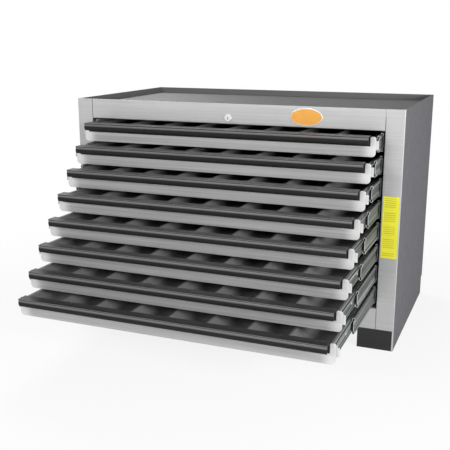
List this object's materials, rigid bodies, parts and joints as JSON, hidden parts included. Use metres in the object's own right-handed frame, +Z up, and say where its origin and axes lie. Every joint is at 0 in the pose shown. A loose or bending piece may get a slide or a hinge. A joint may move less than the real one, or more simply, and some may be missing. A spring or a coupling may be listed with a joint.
{
  "type": "rolling tool cabinet",
  "caption": "Low steel tool cabinet on two foot channels, with a recessed top, stepped-out shallow drawers holding fluted trays, full-width pulls and a central lock.",
  "frame": {"origin": "centre of the footprint at floor level, with the drawers open as in the picture", "axes": "+Z up, -Y out of the front, +X to the right when facing the front"},
  "size_m": [0.914, 0.9286, 0.62],
  "materials": {
    "case_paint": "satin",
    "frame_paint": "satin",
    "foot_paint": "satin",
    "front_paint": "satin",
    "pull_black": "satin",
    "insert_black": "satin",
    "zinc": "zinc plated",
    "lock_chrome": "polished",
    "label_yellow": "satin",
    "plate_finish": "gloss"
  },
  "bodies": {
    "cabinet": {"left_side": "case_paint", "right_side": "case_paint", "back_panel": "case_paint", "top_tray": "case_paint", "bottom_pan": "case_paint", "left_stile": "frame_paint", "right_stile": "frame_paint", "top_rail": "frame_paint", "bottom_rail": "frame_paint", "left_foot": "foot_paint", "right_foot": "foot_paint", "slide_uprights": "zinc", "cabinet_slide_members": "zinc", "lock_housing": "lock_chrome", "lock_bar_guides": "zinc", "badge_plate": "plate_finish", "label_sticker": "label_yellow"},
    "lock_plug": {"lock_plug": "lock_chrome", "lock_rod": "zinc"},
    "lock_bar": {"lock_bar": "zinc"},
    "drawer_1": {"drawer_1_pan": "front_paint", "drawer_1_pull": "pull_black", "drawer_1_insert": "insert_black", "drawer_1_slide_members": "zinc"},
    "slide_1": {"drawer_1_middle_members": "zinc"},
    "drawer_2": {"drawer_2_pan": "front_paint", "drawer_2_pull": "pull_black", "drawer_2_insert": "insert_black", "drawer_2_slide_members": "zinc"},
    "slide_2": {"drawer_2_middle_members": "zinc"},
    "drawer_3": {"drawer_3_pan": "front_paint", "drawer_3_pull": "pull_black", "drawer_3_insert": "insert_black", "drawer_3_slide_members": "zinc"},
    "slide_3": {"drawer_3_middle_members": "zinc"},
    "drawer_4": {"drawer_4_pan": "front_paint", "drawer_4_pull": "pull_black", "drawer_4_insert": "insert_black", "drawer_4_slide_members": "zinc"},
    "slide_4": {"drawer_4_middle_members": "zinc"},
    "drawer_5": {"drawer_5_pan": "front_paint", "drawer_5_pull": "pull_black", "drawer_5_insert": "insert_black", "drawer_5_slide_members": "zinc"},
    "slide_5": {"drawer_5_middle_members": "zinc"},
    "drawer_6": {"drawer_6_pan": "front_paint", "drawer_6_pull": "pull_black", "drawer_6_insert": "insert_black", "drawer_6_slide_members": "zinc"},
    "slide_6": {"drawer_6_middle_members": "zinc"},
    "drawer_7": {"drawer_7_pan": "front_paint", "drawer_7_pull": "pull_black", "drawer_7_insert": "insert_black", "drawer_7_slide_members": "zinc"},
    "slide_7": {"drawer_7_middle_members": "zinc"},
    "drawer_8": {"drawer_8_pan": "front_paint", "drawer_8_pull": "pull_black", "drawer_8_insert": "insert_black", "drawer_8_slide_members": "zinc"},
    "slide_8": {"drawer_8_middle_members": "zinc"}
  },
  "joints": [
    {"name": "lock_turn", "type": "hinge", "parent": "cabinet", "child": "lock_plug", "pos_m": [0, -0.0517, 0.5826], "axis": [0, 1, 0], "range_deg": [0, 90]},
    {"name": "lock_bar_lift", "type": "slide", "parent": "cabinet", "child": "lock_bar", "axis": [0, 0, 1], "range_m": [0, 0.009]},
    {"name": "drawer_1_slide", "type": "slide", "parent": "cabinet", "child": "drawer_1", "axis": [0, -1, 0], "range_m": [-0.0575, 0.3995]},
    {"name": "drawer_1_middle_slide", "type": "slide", "parent": "cabinet", "child": "slide_1", "axis": [0, -1, 0], "range_m": [-0.03451, 0.23971]},
    {"name": "drawer_2_slide", "type": "slide", "parent": "cabinet", "child": "drawer_2", "axis": [0, -1, 0], "range_m": [-0.1046, 0.3524]},
    {"name": "drawer_2_middle_slide", "type": "slide", "parent": "cabinet", "child": "slide_2", "axis": [0, -1, 0], "range_m": [-0.06277, 0.21145]},
    {"name": "drawer_3_slide", "type": "slide", "parent": "cabinet", "child": "drawer_3", "axis": [0, -1, 0], "range_m": [-0.1517, 0.3053]},
    {"name": "drawer_3_middle_slide", "type": "slide", "parent": "cabinet", "child": "slide_3", "axis": [0, -1, 0], "range_m": [-0.09103, 0.18319]},
    {"name": "drawer_4_slide", "type": "slide", "parent": "cabinet", "child": "drawer_4", "axis": [0, -1, 0], "range_m": [-0.1988, 0.2582]},
    {"name": "drawer_4_middle_slide", "type": "slide", "parent": "cabinet", "child": "slide_4", "axis": [0, -1, 0], "range_m": [-0.11929, 0.15493]},
    {"name": "drawer_5_slide", "type": "slide", "parent": "cabinet", "child": "drawer_5", "axis": [0, -1, 0], "range_m": [-0.2459, 0.2111]},
    {"name": "drawer_5_middle_slide", "type": "slide", "parent": "cabinet", "child": "slide_5", "axis": [0, -1, 0], "range_m": [-0.14755, 0.12667]},
    {"name": "drawer_6_slide", "type": "slide", "parent": "cabinet", "child": "drawer_6", "axis": [0, -1, 0], "range_m": [-0.293, 0.164]},
    {"name": "drawer_6_middle_slide", "type": "slide", "parent": "cabinet", "child": "slide_6", "axis": [0, -1, 0], "range_m": [-0.17581, 0.09841]},
    {"name": "drawer_7_slide", "type": "slide", "parent": "cabinet", "child": "drawer_7", "axis": [0, -1, 0], "range_m": [-0.3401, 0.1169]},
    {"name": "drawer_7_middle_slide", "type": "slide", "parent": "cabinet", "child": "slide_7", "axis": [0, -1, 0], "range_m": [-0.20407, 0.07015]},
    {"name": "drawer_8_slide", "type": "slide", "parent": "cabinet", "child": "drawer_8", "axis": [0, -1, 0], "range_m": [-0.3872, 0.0698]},
    {"name": "drawer_8_middle_slide", "type": "slide", "parent": "cabinet", "child": "slide_8", "axis": [0, -1, 0], "range_m": [-0.23233, 0.04189]}
  ],
  "couplings": [
    {"joint": "lock_turn", "follows": "lock_bar_lift", "rad_per_m": 174.53},
    {"joint": "drawer_1_middle_slide", "follows": "drawer_1_slide", "ratio": 0.6},
    {"joint": "drawer_2_middle_slide", "follows": "drawer_2_slide", "ratio": 0.6},
    {"joint": "drawer_3_middle_slide", "follows": "drawer_3_slide", "ratio": 0.6},
    {"joint": "drawer_4_middle_slide", "follows": "drawer_4_slide", "ratio": 0.6},
    {"joint": "drawer_5_middle_slide", "follows": "drawer_5_slide", "ratio": 0.6},
    {"joint": "drawer_6_middle_slide", "follows": "drawer_6_slide", "ratio": 0.6},
    {"joint": "drawer_7_middle_slide", "follows": "drawer_7_slide", "ratio": 0.6},
    {"joint": "drawer_8_middle_slide", "follows": "drawer_8_slide", "ratio": 0.6}
  ]
}
